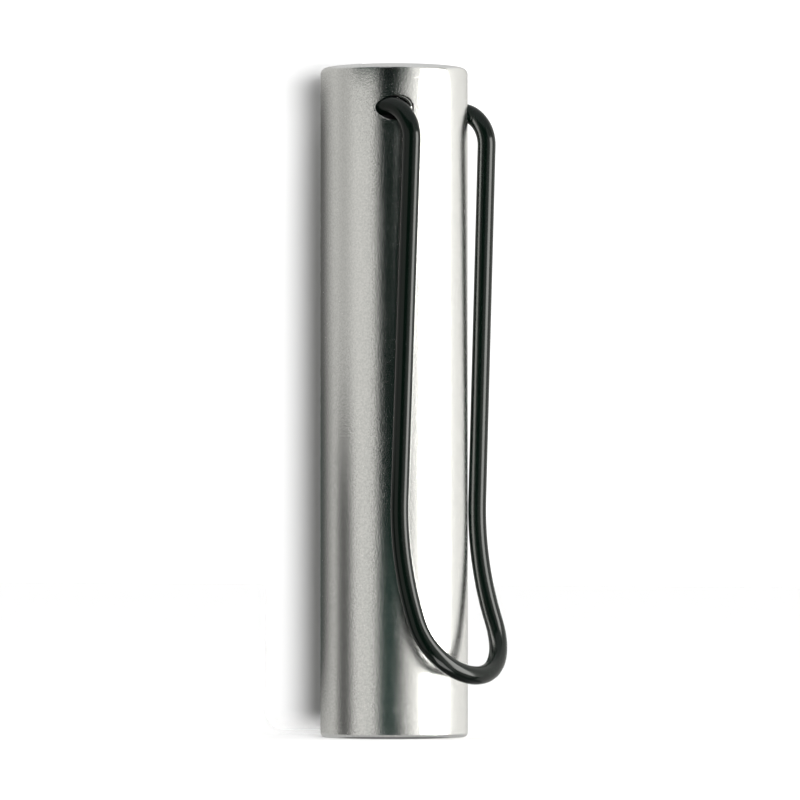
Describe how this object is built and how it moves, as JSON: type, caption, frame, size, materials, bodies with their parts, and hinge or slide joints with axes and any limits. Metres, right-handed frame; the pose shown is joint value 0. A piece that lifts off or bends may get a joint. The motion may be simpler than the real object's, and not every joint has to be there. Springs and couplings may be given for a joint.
{
  "type": "lead holder",
  "caption": "Pocket lead holder: plain round metal tube with a looped spring-wire clip hooked into two holes, a recessed push button and a drop clutch for thick lead.",
  "frame": {"origin": "centre of the bottom of the bounding box; the nose rim stands on z = 0 and the barrel axis is at x = 0, y = +1.843 mm", "axes": "+Z along the barrel from the nose to the button, the clip on the -Y side, +X to the right seen from the clip side"},
  "size_m": [0.013, 0.0166, 0.059],
  "materials": {
    "satin_aluminium": "fine bead-blasted and clear anodised",
    "black_wire": "gloss black lacquered spring wire",
    "black_acetal": "turned black acetal, matt",
    "turned_aluminium": "fine turned, bright",
    "brass": "machined, bare",
    "steel": "hardened and ground; spring wire drawn",
    "graphite": null
  },
  "bodies": {
    "barrel": {"barrel_tube": "satin_aluminium", "clip_anchor": "black_acetal", "end_plug": "black_acetal", "guide_bush": "black_acetal", "lower_spring_washer": "steel", "upper_spacer": "turned_aluminium", "lower_spacer": "turned_aluminium", "nose_bush": "black_acetal", "cone_ring": "steel", "return_spring": "steel"},
    "clip": {"pocket_clip": "black_wire"},
    "plunger": {"push_button": "turned_aluminium", "lead_tube": "brass", "stop_collar": "brass", "upper_spring_washer": "steel", "collet_body": "brass"},
    "lead": {"lead": "graphite"},
    "jaw_1": {"collet_jaw_1": "brass"},
    "jaw_2": {"collet_jaw_2": "brass"},
    "jaw_3": {"collet_jaw_3": "brass"},
    "jaw_4": {"collet_jaw_4": "brass"}
  },
  "joints": [
    {"name": "button_push", "type": "slide", "parent": "barrel", "child": "plunger", "axis": [0, 0, -1], "range_m": [0, 0.0024], "stiffness_N_per_m": 600, "springref_m": -0.005, "deforming": ["return_spring"]},
    {"name": "lead_feed", "type": "slide", "parent": "plunger", "child": "lead", "axis": [0, 0, -1], "range_m": [0, 0.03]},
    {"name": "clip_flex", "type": "hinge", "parent": "barrel", "child": "clip", "pos_m": [0, -0.00176, 0.05515], "axis": [-1, 0, 0], "range_deg": [0, 5], "stiffness_Nm_per_rad": 2.9},
    {"name": "jaw_1_spread", "type": "hinge", "parent": "plunger", "child": "jaw_1", "pos_m": [0.0032, 0.00184, 0.01215], "axis": [0, -1, 0], "range_deg": [0, 2.05]},
    {"name": "jaw_2_spread", "type": "hinge", "parent": "plunger", "child": "jaw_2", "pos_m": [0, 0.00504, 0.01215], "axis": [1, 0, 0], "range_deg": [0, 2.05]},
    {"name": "jaw_3_spread", "type": "hinge", "parent": "plunger", "child": "jaw_3", "pos_m": [-0.0032, 0.00184, 0.01215], "axis": [0, 1, 0], "range_deg": [0, 2.05]},
    {"name": "jaw_4_spread", "type": "hinge", "parent": "plunger", "child": "jaw_4", "pos_m": [0, -0.00136, 0.01215], "axis": [-1, 0, 0], "range_deg": [0, 2.05]}
  ],
  "couplings": [
    {"joint": "jaw_1_spread", "follows": "button_push", "rad_per_m": 14.54},
    {"joint": "jaw_2_spread", "follows": "button_push", "rad_per_m": 14.54},
    {"joint": "jaw_3_spread", "follows": "button_push", "rad_per_m": 14.54},
    {"joint": "jaw_4_spread", "follows": "button_push", "rad_per_m": 14.54}
  ]
}
